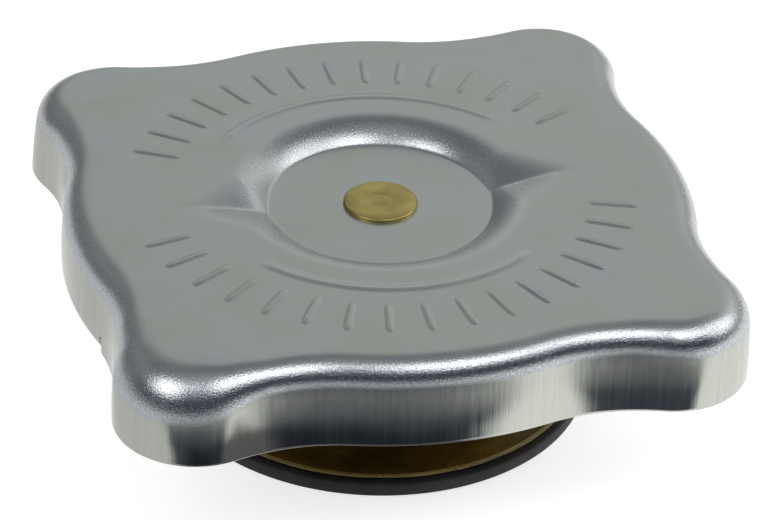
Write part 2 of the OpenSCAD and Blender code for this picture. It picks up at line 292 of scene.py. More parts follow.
def bump(tree, shader, height, strength, distance):
    made = node(tree, "ShaderNodeBump")
    made.inputs["Strength"].default_value = strength
    made.inputs["Distance"].default_value = distance * MM
    tree.links.new(height, made.inputs["Height"])
    tree.links.new(made.outputs["Normal"], shader.inputs["Normal"])


print("noise is taken to lie between", *NOISE_SPAN)

# %% [markdown]
# ## Bright zinc
# The cover is pressed from steel and then zinc plated. The flat top keeps a soft satin skin with faint
# blotches, while the metal that slid over the die, on the rolled edge and the recess lip, is
# burnished bright. The skirt shows fine vertical draw lines. Two attributes that are written on the
# mesh, bend and skirt, say where each look belongs. An image could carry all of it, but noise and
# masks stay sharp at any distance.

# %% Cover finish
TINTS = [(0.30, (0.50, 0.53, 0.54)), (0.45, (0.54, 0.57, 0.56)),
         (0.58, (0.56, 0.58, 0.54)), (0.72, (0.57, 0.59, 0.56))]
SPANGLE = [(0.36, (0.54, 0.56, 0.585)), (0.5, (0.64, 0.66, 0.68)), (0.64, (0.75, 0.77, 0.79))]
DRAWN_TINTS = [(0.35, (0.61, 0.635, 0.565)), (0.65, (0.67, 0.695, 0.625))]
SATIN_ROUGH, DRAWN_ROUGH, BURNISHED_ROUGH = (0.36, 0.44), (0.10, 0.16), 0.21
DULL_FROM, DULL_TO, DULLER = 16.5, 19.5, 0.09
SATIN_GRAIN, BURNISHED_GRAIN, STREAK_DEPTH, RELIEF_MM = 0.05, 0.62, 0.14, 0.05


def make_zinc():
    material, tree, shader = new_material("Bright zinc", 1.0, 0.3)
    grain = place_group(tree, GRAIN, Scale=5200.0, Blotch_Scale=150.0).outputs
    lines = place_group(tree, STREAKS, Scale=1900.0, Stretch=0.02).outputs["Lines"]
    bend, skirt = painted(tree, "bend"), painted(tree, "skirt")
    flat_tone, skirt_tone = ramp(tree, grain["Blotch"], TINTS), ramp(tree, lines, DRAWN_TINTS)
    tone = blend_colours(tree, skirt, flat_tone, skirt_tone)
    tone = blend_colours(tree, bend, tone, ramp(tree, grain["Grain"], SPANGLE))
    satin = spread(tree, grain["Blotch"], *NOISE_SPAN, *SATIN_ROUGH)
    drawn = spread(tree, lines, *NOISE_SPAN, *DRAWN_ROUGH)
    place = node(tree, "ShaderNodeSeparateXYZ")
    tree.links.new(node(tree, "ShaderNodeTexCoord").outputs["Object"], place.inputs[0])
    # The skirt gets duller toward the rolled edge.
    duller = spread(tree, place.outputs["Z"], DULL_FROM * MM, DULL_TO * MM, 0.0, DULLER)
    rough = blend_values(tree, skirt, satin, math_node(tree, "ADD", drawn, duller))
    feed(tree, shader, tone, blend_values(tree, bend, rough, BURNISHED_ROUGH))
    depth = blend_values(tree, bend, SATIN_GRAIN, BURNISHED_GRAIN)
    relief = math_node(tree, "MULTIPLY", grain["Grain"], depth)
    streaks = math_node(tree, "MULTIPLY", lines, math_node(tree, "MULTIPLY", skirt, STREAK_DEPTH))
    bump(tree, shader, math_node(tree, "ADD", relief, streaks), 1.0, RELIEF_MM)
    return material


zinc = make_zinc()
print("made", zinc.name)

# %% [markdown]
# ## Brass, spring steel and rubber
# The rivet is dull brass with turning rings. The pressed valve pieces are brass with a warmer,
# darker tone where it has aged. The valve plate's brass is darkened all over as painted shade, for it
# sits deep under the cover, and its rim is lightened, partly as wear and partly as a painted highlight.
# Springs and the sprung disc are bright drawn steel, and the seals are matte black rubber with a little
# dust in its grain. Each could have a node tree of its own, but they differ only in tones, scales and
# roughness, so two functions make all five.

# %% Finishes of the smaller pieces
AGED, CLEAN = 0.08, -0.05


def make_brass(name, dark, light, roughness, edge=None):
    material, tree, shader = new_material(name, 1.0, roughness)
    grain = place_group(tree, GRAIN, Scale=2200.0, Blotch_Scale=260.0).outputs
    rings = place_group(tree, RINGS, Scale=2600.0).outputs["Rings"]
    tone = ramp(tree, grain["Blotch"], [(0.32, dark), (0.68, light)])
    # The edge colour lightens the masked rim, partly as wear and partly as a painted highlight.
    if edge:
        tone = blend_colours(tree, painted(tree, "worn_and_highlit"), tone, edge)
    rough = spread(tree, grain["Blotch"], *NOISE_SPAN, roughness + AGED, roughness + CLEAN)
    feed(tree, shader, tone, rough)
    bump(tree, shader, math_node(tree, "ADD", rings, grain["Grain"]), 0.15, 0.02)
    return material


def make_grained(name, metallic, roughness, scales, dark, light, rough_by, rough_span, relief):
    """A plain finish: blotches tint it, and its roughness follows the grain or the blotches."""
    material, tree, shader = new_material(name, metallic, roughness)
    grain = place_group(tree, GRAIN, Scale=scales[0], Blotch_Scale=scales[1]).outputs
    tone = ramp(tree, grain["Blotch"], list(zip(NOISE_SPAN, (dark, light))))
    feed(tree, shader, tone, spread(tree, grain[rough_by], *NOISE_SPAN, *rough_span))
    bump(tree, shader, grain["Grain"], *relief)
    return material


rivet_brass = make_brass("Dull brass", (0.38, 0.30, 0.095), (0.54, 0.43, 0.15), 0.34)
# The valve plate's brass is darkened as painted shade, for it sits deep under the cover; its edge colour is
# partly wear and partly a painted highlight.
plate_brass = make_brass("Brass with painted shade", (0.115, 0.088, 0.028), (0.24, 0.18, 0.055), 0.30, (0.78, 0.62, 0.32))
pressed_brass = make_brass("Pressed brass", (0.52, 0.39, 0.16), (0.66, 0.52, 0.25), 0.28)
spring_steel = make_grained("Drawn steel", 1.0, 0.26, scales=(3000.0, 300.0), dark=(0.46, 0.47, 0.48),
                            light=(0.60, 0.61, 0.62), rough_by="Blotch", rough_span=(0.22, 0.34),
                            relief=(0.12, 0.02))
rubber = make_grained("Seal rubber", 0.0, 0.62, scales=(2600.0, 180.0), dark=(0.045, 0.044, 0.043),
                      light=(0.085, 0.083, 0.08), rough_by="Grain", rough_span=(0.55, 0.72),
                      relief=(0.3, 0.03))
print("made", [m.name for m in (rivet_brass, plate_brass, pressed_brass, spring_steel, rubber)])

# %% [markdown]
# ## The cover's outline
# Seen from above, the outline is made of arcs only: a bowed side, a dip, an ear and a dip again, four
# times round. Each point of the outline also knows the direction straight into the sheet, so
# the same points can be moved inwards for the rolled edge and for the sheet's thickness. A curve
# could be traced by hand instead, but computed arcs meet without a kink.

# %% Outline of the cover
TOP_Z, SKIRT_Z, SHEET, EDGE_R = 23.0, 13.9, 1.0, 2.7
HALF_W, SIDE_R, EAR_R, EAR_SPAN, DIP_R = 33.0, 37.0, 8.2, 84.6, 20.5
LUG_W, RELIEF_W, SLOT_STEP = 21.9, 0.5, 0.04


def polar(radius, degrees):
    a = np.radians(degrees)
    return np.stack([radius * np.cos(a), radius * np.sin(a)], axis=-1)


def bearing(v):
    return math.degrees(math.atan2(v[1], v[0]))


def outer_meeting(c1, r1, c2, r2):
    """Where two circles meet, to the right of the way from the first to the second."""
    gap = np.linalg.norm(c2 - c1)
    u = (c2 - c1) / gap
    along = (r1 * r1 - r2 * r2 + gap * gap) / (2 * gap)
    return c1 + along * u + math.sqrt(r1 * r1 - along * along) * np.array([u[1], -u[0]])


side_c = np.array([HALF_W - SIDE_R, 0.0])
ear_c = polar(EAR_SPAN / 2 - EAR_R, 45.0)
dip_c = outer_meeting(side_c, SIDE_R + DIP_R, ear_c, EAR_R + DIP_R)
side_angle, ear_angle = bearing(dip_c - side_c), bearing(dip_c - ear_c)


def arc_columns(centre, radius, start, stop, count, inward, extra=()):
    """Points along an arc without its last one, and the inward direction at each."""
    angles = start + (stop - start) * np.arange(count) / count
    angles = np.concatenate([angles, extra])
    angles = np.sort(angles) if stop > start else np.sort(angles)[::-1]
    return centre + polar(radius, angles), inward * polar(1.0, angles)


def slot_angles():
    """Angles on a dip where a slot beside the lug begins and ends, two close columns for each."""
    ends = LUG_W / 2 + np.array([0, SLOT_STEP, RELIEF_W - SLOT_STEP, RELIEF_W])
    return 180 - np.degrees(np.arcsin((ends - dip_c[1]) / DIP_R))


def cover_columns(side=48, dip=28, ear=44):
    parts = [arc_columns(side_c, SIDE_R, -side_angle, side_angle, side, -1),
             arc_columns(dip_c, DIP_R, side_angle + 180, ear_angle + 180, dip, 1, slot_angles()),
             arc_columns(ear_c, EAR_R, ear_angle, 90 - ear_angle, ear, -1)]
    back = arc_columns(dip_c, DIP_R, ear_angle + 180, side_angle + 180, dip, 1, slot_angles())
    parts.append(tuple(p[:, ::-1] for p in back))
    place, inward = (np.concatenate([p[k] for p in parts]) for k in (0, 1))
    quarters = [np.array([[math.cos(q), -math.sin(q)], [math.sin(q), math.cos(q)]])
                for q in np.arange(4) * math.pi / 2]
    return (np.concatenate([place @ q.T for q in quarters]),
            np.concatenate([inward @ q.T for q in quarters]))


outline, inward = cover_columns()
azimuth = np.arctan2(outline[:, 1], outline[:, 0])
print("outline points:", len(outline), "reach:", round(float(np.abs(outline).max()), 2), "mm")

# %% [markdown]
# ## The pressed top
# The top is drawn as a depth below the flat: a round recess whose lip and foot are arcs, two wings that
# run out of it along X as shallow troughs with a fine crease, and two thin raised arcs. A soft
# maximum joins the wings to the recess, the way sheet metal flows round a punch. Sculpting could do
# it by eye; a formula gives the same heights to the mesh and to the masks.

# %% Depth of the pressed top
RECESS_DEPTH, RECESS_FLOOR_R, LIP_R, FOOT_R = 1.85, 11.5, 5.6, 0.4
SLOPE = math.radians(46)
RUN = (LIP_R + FOOT_R - (LIP_R + FOOT_R - RECESS_DEPTH) * math.cos(SLOPE)) / math.sin(SLOPE)
RECESS_R = RECESS_FLOOR_R + RUN
WING_TIP, WING_FALL, WING_FLANK = 19.0, math.tan(math.radians(12)), math.tan(math.radians(15))
CREASE, SHOULDER, BLEND = 0.25, 0.6, 1.0
ARC_R, ARC_W, ARC_H = 18.8, 1.7, 0.10
RAISED_ARCS, ARC_FADE = ((36, 140), (217, 310)), 5


def soft_max(a, b, width):
    near = np.clip(1 - np.abs(a - b) / width, 0, 1)
    return np.maximum(a, b) + near ** 2 * width / 4


def recess_depth(r):
    lip_end, foot_end = RECESS_R - LIP_R * math.sin(SLOPE), RECESS_FLOOR_R + FOOT_R * math.sin(SLOPE)
    lip = LIP_R - np.sqrt(np.maximum(LIP_R ** 2 - (RECESS_R - r) ** 2, 0))
    wall = LIP_R * (1 - math.cos(SLOPE)) + (lip_end - r) * math.tan(SLOPE)
    foot = RECESS_DEPTH - FOOT_R + np.sqrt(np.maximum(FOOT_R ** 2 - (r - RECESS_FLOOR_R) ** 2, 0))
    return np.select([r >= RECESS_R, r >= lip_end, r >= foot_end, r >= RECESS_FLOOR_R],
                     [0 * r, lip, wall, foot], RECESS_DEPTH + 0 * r)


def wing_depth(x, y):
    """A trough that falls toward the recess, with two plain flanks, a fine crease and soft shoulders."""
    flank = np.sqrt(y ** 2 + CREASE ** 2) - CREASE
    return soft_max((WING_TIP - np.abs(x)) * WING_FALL - flank * WING_FLANK, 0, SHOULDER)


def pressed_depth(x, y):
    round_part, wing = recess_depth(np.hypot(x, y)), np.minimum(wing_depth(x, y), RECESS_DEPTH)
    wing = np.where(np.abs(x) > RECESS_FLOOR_R / 2, wing, 0)
    both = np.clip(np.minimum(round_part, wing) / BLEND, 0, 1)
    depth = np.maximum(round_part, wing) * (1 - both) + soft_max(round_part, wing, BLEND) * both
    return np.minimum(depth, RECESS_DEPTH)


def ridge(x, y):
    r, a = np.hypot(x, y), np.degrees(np.arctan2(y, x)) % 360
    across = np.cos(np.clip(np.abs(r - ARC_R) / (ARC_W / 2), 0, 1) * math.pi / 2) ** 2
    rise = 0 * r
    for start, stop in RAISED_ARCS:
        middle, half = (start + stop) / 2, (stop - start) / 2
        off = np.abs((a - middle + 180) % 360 - 180)
        rise = np.maximum(rise, np.clip((half - off) / ARC_FADE, 0, 1))
    return ARC_H * across * rise


def top_z(x, y):
    return TOP_Z - pressed_depth(x, y) + ridge(x, y)


print("recess from", round(RECESS_R, 2), "to", RECESS_FLOOR_R, "mm radius")

# %% [markdown]
# ## Lugs and relief slots
# In the middle of two sides, the skirt is cut up by two narrow slots, and the strip between them is
# folded inwards: these lugs grip the filler neck. The skirt's lower edge is lifted to the top of
# each slot by two close columns, which beats a Boolean because no face is left ragged. Between
# the slots it stops where the fold begins, and the fold is a bent grid of its own in the same mesh.

# %% Lower edge and lugs
LUG_BEND_R, RELIEF_H, LUG_DEPTH, LUG_SET = 1.2, 1.8, 6.0, 0.02
LUG_TIP, LUG_TIP_LOW, LUG_OVERLAP, LUG_SIDE = 0.2, 0.25, 0.6, 0.9
RELIEF_Z = SKIRT_Z + RELIEF_H
lug_side = np.abs(outline[:, 0]) > LUG_SIDE * HALF_W
across = np.abs(outline[:, 1])
over_lug = lug_side & (across < LUG_W / 2 + SLOT_STEP / 2)
in_slot = lug_side & ~over_lug & (across < LUG_W / 2 + RELIEF_W - SLOT_STEP / 2)
lower_edge = np.select([over_lug, in_slot], [SKIRT_Z + LUG_BEND_R, RELIEF_Z], SKIRT_Z)


def arc_points(centre, radius, start, stop, count):
    return np.asarray(centre) + polar(radius, np.linspace(start, stop, count + 1))


def lug_strip(columns=36):
    """The folded strip: its section, repeated along the bow of the side, with an end face at each end."""
    bend_c = (LUG_BEND_R, SKIRT_Z + LUG_BEND_R)
    tip, top, high = LUG_DEPTH - LUG_TIP, SKIRT_Z + SHEET, bend_c[1] + LUG_OVERLAP
    section = np.concatenate([
        [[tip, SKIRT_Z + LUG_SET / 2]],
        arc_points(bend_c, LUG_BEND_R - LUG_SET, 270, 180, 8),
        [[LUG_SET, high], [SHEET - LUG_SET, high]],
        arc_points(bend_c, LUG_BEND_R - SHEET + LUG_SET, 180, 270, 6),
        [[tip, top], [LUG_DEPTH, top - LUG_TIP], [LUG_DEPTH, SKIRT_Z + LUG_TIP_LOW]]])
    half = math.degrees(math.asin(LUG_W / 2 / SIDE_R))
    rows = [np.column_stack([side_c + polar(SIDE_R - section[:, 0], a), section[:, 1]])
            for a in np.linspace(-half, half, columns + 1)]
    m = len(section)
    faces = ring_faces(columns + 1, m, False)
    faces += [list(range(m)), [columns * m + k for k in range(m)]]
    return np.concatenate(rows), faces


print("columns over the lugs:", int(over_lug.sum()), "in the slots:", int(in_slot.sum()))

# %% [markdown]
# ## The cover's shell
# Rings of points run from the rivet hole outwards over the top, round the rolled edge, down the skirt,
# round its cut edge and back along the underside to the hole. The last ring joins the first,
# so the sheet is one closed skin with a real thickness everywhere. Drawn sheet is never quite
# even: the roll is fuller at the ears, most of all at one of them, the skirt leans in a little
# toward the roll, and another ear flares out at its lower edge.

# %% Build the cover
HOLE_R, LAST_CIRCLE = 2.5, 27.5
CUT_R, FOLD_CUT_R, LEAN, LEAN_Z, LEAN_POWER = 0.18, 0.005, 0.25, 15.8, 1.5
EAR_ROLL, BIG_ROLL, FLARE_OUT = 0.5, 1.4, 0.4
FULL_EAR, FLARED_EAR, EAR_SECTOR, EAR_FROM, EAR_FADE = 225, 135, 45, 36.0, 5
TOP_RADII = np.concatenate([[HOLE_R, 3.5, 5, 7, 9, 10.2, 11.0, 11.3], np.arange(11.5, 15.2, 0.17),
                            np.arange(15.3, 18.35, 0.2), np.arange(18.4, 19.85, 0.13),
                            [20.5, 22.5, 25, LAST_CIRCLE]])
UNDER_RADII = [*TOP_RADII[::-2], HOLE_R]
SKIRT_SHARES = (0.15, 0.3, 0.45, 0.6, 0.8, 0.97, 1.0)
ear_share = np.clip((np.hypot(*outline.T) - EAR_FROM) / EAR_FADE, 0, 1)


def near_ear(degrees):
    """One at the ear in this direction, falling to nothing toward its dips."""
    off = np.abs((np.degrees(azimuth) - degrees + 180) % 360 - 180)
    return ear_share * (off < EAR_SECTOR)


roll_r = EDGE_R + EAR_ROLL * ear_share + BIG_ROLL * near_ear(FULL_EAR)
skirt_top = TOP_Z - roll_r
cut_r = np.where(over_lug, FOLD_CUT_R, CUT_R)


def circle_row(radius, drop=0.0):
    x, y = radius * np.cos(azimuth), radius * np.sin(azimuth)
    return np.column_stack([x, y, top_z(x, y) - drop])


def inset_row(depth, z):
    lean = LEAN * np.clip((z - LEAN_Z) / (TOP_Z - EDGE_R - LEAN_Z), 0, 1) ** LEAN_POWER
    fall = np.clip((TOP_Z - EDGE_R - z) / (TOP_Z - EDGE_R - SKIRT_Z), 0, 1)
    inset = depth + lean - FLARE_OUT * near_ear(FLARED_EAR) * fall
    return np.column_stack([outline + inward * inset[:, None], np.broadcast_to(z, azimuth.shape)])


def between_rows(a, b, shares):
    return [a + (b - a) * s for s in shares]


def unit_arc(start, stop, count):
    return arc_points((0, 0), 1.0, start, stop, count)


def cover_rows():
    rows = [circle_row(r) for r in TOP_RADII]
    outer = [inset_row(roll_r * (1 + u), skirt_top + roll_r * z) for u, z in unit_arc(90, 180, 16)]
    rows += between_rows(rows[-1], outer[0], (0.4, 0.8)) + outer
    low = lower_edge + cut_r
    rows += [inset_row(0, skirt_top + (low - skirt_top) * s) for s in SKIRT_SHARES]
    rows += [inset_row(cut_r * (1 + u), low + cut_r * z) for u, z in unit_arc(180, 270, 2)[1:]]
    rows += [inset_row(SHEET - cut_r * (1 - u), low + cut_r * z) for u, z in unit_arc(270, 360, 2)]
    inner_r = roll_r - SHEET
    inner = [inset_row(roll_r + inner_r * u, skirt_top + inner_r * z) for u, z in unit_arc(180, 90, 8)]
    rows += between_rows(rows[-1], inner[0], (0.33, 0.66)) + inner
    under = [circle_row(r, SHEET) for r in UNDER_RADII]
    return rows + between_rows(inner[-1], under[0], (0.5,)) + under


rows = cover_rows()
shell = np.concatenate(rows)
strip, strip_faces = lug_strip()
points, faces = [shell], ring_faces(len(rows), len(outline), True)
for turn in (1, -1):
    base = sum(len(p) for p in points)
    points.append(strip * np.array([turn, turn, 1.0]))
    faces += [[base + k for k in f] for f in strip_faces]
cover = make_piece("pressed_cover", np.concatenate(points), faces, zinc)
print("cover:", len(rows), "rings of", len(outline), "points, and two folded lugs")

# %% [markdown]
# ## Where the cover is burnished
# The die rubbed the steel where it flowed most: on the rolled edge and on the slopes of the recess, and
# less on the wings. Both masks come from the shape itself, from the slope of the top and from how far
# a point has come round the roll, so they stay right when a size changes. They are written on the
# vertices, which needs no unwrapping.

# %% Masks on the cover
PRESSED_BRIGHT, WING_DULL, WING_FADE = 0.75, 0.5, 1.2
OUTSIDE_R, ROLL_START, ROLL_END = LAST_CIRCLE + 0.5, 8, 6
SKIRT_FROM, SKIRT_RISE, SLOPE_GAIN, SLOPE_STEP = 0.85, 7, 3, 0.1


def write_attribute(piece, name, values):
    layer = piece.data.attributes.new(name, "FLOAT", "POINT")
    layer.data.foreach_set("value", np.ascontiguousarray(values, dtype=np.float32))


def vertex_places(piece):
    flat = np.empty(len(piece.data.vertices) * 3)
    piece.data.vertices.foreach_get("co", flat)
    return flat.reshape(-1, 3) / MM


def vertex_radii(piece):
    return np.hypot(*vertex_places(piece)[:, :2].T)


def cover_masks():
    """How burnished each vertex of the cover is, and how much it belongs to the skirt."""
    x, y, z = vertex_places(cover).T
    radius = np.hypot(x, y)
    d = SLOPE_STEP
    slope = np.hypot((top_z(x + d, y) - top_z(x - d, y)) / (2 * d),
                     (top_z(x, y + d) - top_z(x, y - d)) / (2 * d))
    own_roll = np.full(len(x), EDGE_R)
    own_roll[:len(shell)] = np.tile(roll_r, len(rows))
    fall = (TOP_Z - z) / own_roll
    outside = radius > OUTSIDE_R
    rolled = outside * np.clip(np.minimum(fall * ROLL_START, (1.0 - fall) * ROLL_END), 0, 1)
    pressed = np.where(radius < WING_TIP, np.clip(slope * SLOPE_GAIN, 0, 1), 0)
    on_wing = np.clip((radius - RECESS_R + WING_FADE) / WING_FADE, 0, 1) * (np.abs(x) > np.abs(y))
    bend = np.maximum(rolled, PRESSED_BRIGHT * pressed * (1 - WING_DULL * on_wing))
    return bend, outside * np.clip((fall - SKIRT_FROM) * SKIRT_RISE, 0, 1)


for label, values in zip(("bend", "skirt"), cover_masks()):
    write_attribute(cover, label, values)
    print(label, "mask, mean", round(float(values.mean()), 3))
dress(cover, "cover", "plated_cover", "cover")

# %% [markdown]
# ## Raised bars on the top
# Two rows of plain raised bars stand round the recess. They repeat, so Geometry Nodes place them: an
# arc is resampled to one point for each bar, a pillow-shaped bar is put on each point along its
# normal, and the instances are realized into one mesh.

# %% Bars by Geometry Nodes
BAR_L, BAR_W, BAR_H, BAR_SINK, BAR_R, BAR_END = 5.4, 1.3, 0.17, 0.03, 24.1, 0.2
BAR_ROWS = ((27.0, 153.0, 15), (194.0, 342.0, 17))


def pillow_bar(columns=9, rows=7):
    """One bar: a low pillow whose flanks flow into the flat, closed underneath."""
    x, y = np.meshgrid(np.linspace(-1, 1, columns), np.linspace(-1, 1, rows), indexing="ij")
    ends = np.maximum(np.abs(x) - (1 - BAR_END), 0) / BAR_END
    rise = BAR_H * np.cos(y * math.pi / 2) ** 2 * np.cos(ends * math.pi / 2) ** 2
    top = np.stack([x * BAR_L / 2, y * BAR_W / 2, rise - BAR_SINK], axis=-1).reshape(-1, 3)
    index = np.arange(columns * rows).reshape(columns, rows)
    rim = np.concatenate([index[0], index[1:, -1], index[-1, -2::-1], index[-2:0:-1, 0]])
    return make_piece("bar_pattern", top, grid_faces(columns, rows) + [rim.tolist()])


def new_geometry_group(name, inputs):
    group = bpy.data.node_groups.new(name, "GeometryNodeTree")
    group.interface.new_socket("Geometry", in_out="INPUT", socket_type="NodeSocketGeometry")
    keys = {}
    for label, (kind, value) in inputs.items():
        socket = group.interface.new_socket(label, in_out="INPUT", socket_type=kind)
        if value is not None:
            socket.default_value = value
        keys[label] = socket.identifier
    group.interface.new_socket("Geometry", in_out="OUTPUT", socket_type="NodeSocketGeometry")
    return group, group.nodes.new("NodeGroupInput"), group.nodes.new("NodeGroupOutput"), keys


def chain(group, *links):
    for output, target in links:
        group.links.new(output, target)


def in_line(group, *nodes):
    """Hands the geometry on from each node to the next."""
    for a, b in zip(nodes, nodes[1:]):
        group.links.new(a.outputs[0], b.inputs[0])


def build_bar_rows():
    group, start, end, keys = new_geometry_group("Bars along an arc", {
        "Radius": (FLOAT, 0.024), "Height": (FLOAT, 0.023), "Start Angle": (FLOAT, 0.0),
        "Sweep Angle": (FLOAT, 1.0), "Count": ("NodeSocketInt", 10),
        "Bar": ("NodeSocketObject", None), "Material": ("NodeSocketMaterial", None)})
    arc = node(group, "GeometryNodeCurveArc", mode="RADIUS")
    arc.inputs["Resolution"].default_value = 128
    spaced = node(group, "GeometryNodeCurveToPoints", mode="COUNT")
    lift = node(group, "GeometryNodeSetPosition")
    up = node(group, "ShaderNodeCombineXYZ")
    bar = node(group, "GeometryNodeObjectInfo")
    where = node(group, "GeometryNodeInputPosition")
    level = node(group, "ShaderNodeVectorMath", operation="MULTIPLY")
    level.inputs[1].default_value = (1, 1, 0)
    aim = node(group, "FunctionNodeAlignRotationToVector", axis="X")
    put = node(group, "GeometryNodeInstanceOnPoints")
    real = node(group, "GeometryNodeRealizeInstances")
    paint = node(group, "GeometryNodeSetMaterial")
    in_line(group, arc, spaced, lift, put, real, paint, end)
    chain(group,
          (start.outputs["Radius"], arc.inputs["Radius"]),
          (start.outputs["Start Angle"], arc.inputs["Start Angle"]),
          (start.outputs["Sweep Angle"], arc.inputs["Sweep Angle"]),
          (start.outputs["Count"], spaced.inputs["Count"]),
          (start.outputs["Height"], up.inputs["Z"]),
          (up.outputs[0], lift.inputs["Offset"]),
          (where.outputs[0], level.inputs[0]),
          (level.outputs[0], aim.inputs["Vector"]),
          (start.outputs["Bar"], bar.inputs["Object"]),
          (bar.outputs["Geometry"], put.inputs["Instance"]),
          (aim.outputs["Rotation"], put.inputs["Rotation"]),
          (start.outputs["Material"], paint.inputs["Material"]))
    return group, keys


def grown(name, group, keys, **values):
    """Runs a geometry group once and keeps its result as plain mesh data."""
    host = add_object(name, bpy.data.meshes.new(name))
    modifier = host.modifiers.new(name, "NODES")
    modifier.node_group = group
    for key, value in values.items():
        modifier[keys[key.replace("_", " ")]] = value
    freeze(host, modifier)
    host.data.name = name
    return host


pattern = pillow_bar()
bar_group, bar_keys = build_bar_rows()
for label, (begin, stop, count) in zip(("back_bars", "front_bars"), BAR_ROWS):
    bars = grown(label, bar_group, bar_keys, Radius=BAR_R * MM, Height=TOP_Z * MM,
                 Start_Angle=math.radians(begin), Sweep_Angle=math.radians(stop - begin),
                 Count=count, Bar=pattern, Material=zinc)
    bars.data.shade_smooth()
    dress(bars, "cover", "plated_cover")
bpy.data.objects.remove(pattern)

# %% [markdown]
# ## Turned and pressed rings
# Everything that hangs under the cover is round, so most pieces are a section spun round the axis.
# Blender's Screw modifier could do the same; the helpers below keep the corner arcs, the spin and the
# closing of the skin in one place.
# The corners of a section get a small radius first, because a real edge is never perfectly sharp
# and the radius is what catches the light.

# %% Lathe helpers
ON_AXIS, NEARLY_STRAIGHT, SIDE_SHARE, MERGE = 1e-6, math.radians(88), 0.48, 0.002


def rounded(section, radius, steps=3, closed=True):
    """Replaces each corner of a section by a small arc, as far as its sides allow."""
    section = [np.asarray(p, float) for p in section]
    count, out = len(section), []
    for k, p in enumerate(section):
        r = radius[k] if isinstance(radius, (list, tuple)) else radius
        if (not closed and k in (0, count - 1)) or r <= 0 or p[0] < ON_AXIS:
            out.append(p)
            continue
        a, b = section[k - 1] - p, section[(k + 1) % count] - p
        la, lb = np.linalg.norm(a), np.linalg.norm(b)
        a, b = a / la, b / lb
        half = math.acos(float(np.clip(a @ b, -1, 1))) / 2
        if half > NEARLY_STRAIGHT:
            out.append(p)
            continue
        reach = min(r / math.tan(half), SIDE_SHARE * la, SIDE_SHARE * lb)
        r = reach * math.tan(half)
        centre = p + (a + b) / np.linalg.norm(a + b) * (r / math.sin(half))
        first, last = p + a * reach - centre, p + b * reach - centre
        turn = math.atan2(first[0] * last[1] - first[1] * last[0], float(first @ last))
        for s in np.linspace(0, 1, steps + 1):
            c, d = math.cos(turn * s), math.sin(turn * s)
            out.append(centre + np.array([first[0] * c - first[1] * d, first[0] * d + first[1] * c]))
    return np.array(out)


def spun(section, steps):
    angles = np.arange(steps) * 2 * math.pi / steps
    rings = [np.column_stack([r * np.cos(angles), r * np.sin(angles), np.full(steps, z)])
             for r, z in section]
    return np.concatenate(rings)


def lathe(name, section, material, body, slot, nodes, steps=144, closed=True):
    faces = ring_faces(len(section), steps, closed)
    piece = make_piece(name, spun(section, steps), faces, material, merge=MERGE)
    dress(piece, body, slot, *nodes)
    return piece


print("a square with rounded corners:", len(rounded([(1, 0), (2, 0), (2, 1), (1, 1)], 0.2)), "points")

# %% [markdown]
# ## Centre rivet
# A brass rivet holds the valve under the cover. Its head is slightly domed, with a faint ring pressed
# by the tool, and its tail is spread under a washer. Joined cylinders could make it, but one section
# from the axis and back gives head, shank and tail as a single skin.

# %% Rivet
RECESS_Z = TOP_Z - RECESS_DEPTH
HEAD_R, HEAD_T, HEAD_EDGE, HEAD_DIP = 3.85, 0.4, 0.22, 0.01
TAIL_R, TAIL_Z, TAIL_BEVEL, TAIL_H = 3.8, 17.9, 0.5, 1.0
HEAD_RISE = ((0, -0.01), (0.95, -0.01), (1.1, -0.03), (1.25, 0.0), (2.6, 0.0))
head_z, end_z = RECESS_Z + HEAD_T, TAIL_Z - TAIL_H
head = [(r, head_z + rise) for r, rise in HEAD_RISE]
head_edge = arc_points((HEAD_R - HEAD_EDGE, head_z - HEAD_EDGE - HEAD_DIP), HEAD_EDGE, 88, 0, 5)
tail = rounded([(HEAD_R, RECESS_Z), (HOLE_R, RECESS_Z), (HOLE_R, TAIL_Z), (TAIL_R, TAIL_Z),
                (TAIL_R, TAIL_Z - TAIL_BEVEL), (HOLE_R, end_z), (0, end_z)],
               [0.05, 0, 0, 0.1, 0.3, 0.3, 0], closed=False)
rivet_section = np.concatenate([head, head_edge, tail])
lathe("turned_rivet", rivet_section, rivet_brass, "cover", "rivet_brass", ["centre_rivet"], 128, closed=False)

# %% [markdown]
# ## Sprung disc and neck gasket
# A dished disc of spring steel carries a rubber ring that seals on the rim of the filler neck. Both
# swivel on the rivet with the rest of the valve. Cylinders cut by cylinders could make them; closed
# sections are shorter and take large bend radii as easily as small ones.

# %% Neck seal
DISC_Z, DISC_T, DISC_DROP, BORE_R, RIM_R = 19.75, 0.4, 2.0, 2.55, 26.6
upper = [(BORE_R, DISC_Z), (15.4, DISC_Z), (22.8, DISC_Z - DISC_DROP), (RIM_R, DISC_Z - DISC_DROP)]
disc_section = upper + [(r, z - DISC_T) for r, z in upper[::-1]]
lathe("sprung_disc", rounded(disc_section, [0.05, 6.0, 4.0, 0.12, 0.12, 4.0, 6.0, 0.05], 6), spring_steel,
      "valve_unit", "spring_steel", ["neck_spring_disc"], 192)
RIM_Z, NECK_GASKET_T, NECK_GASKET_IN_R = DISC_Z - DISC_DROP - DISC_T, 1.5, 23.2
ring = [(NECK_GASKET_IN_R, RIM_Z), (RIM_R, RIM_Z),
        (RIM_R, RIM_Z - NECK_GASKET_T), (NECK_GASKET_IN_R, RIM_Z - NECK_GASKET_T)]
lathe("neck_seal", rounded(ring, 0.25), rubber, "valve_unit", "seal_rubber", ["neck_gasket"], 192)

# %% [markdown]
# ## Spring cage
# The cage is a pressed brass cup, upside down, with windows in its wall. It is drawn as one layer of
# faces, the faces in the windows are left out, and Solidify gives the sheet its thickness with
# clean window edges.

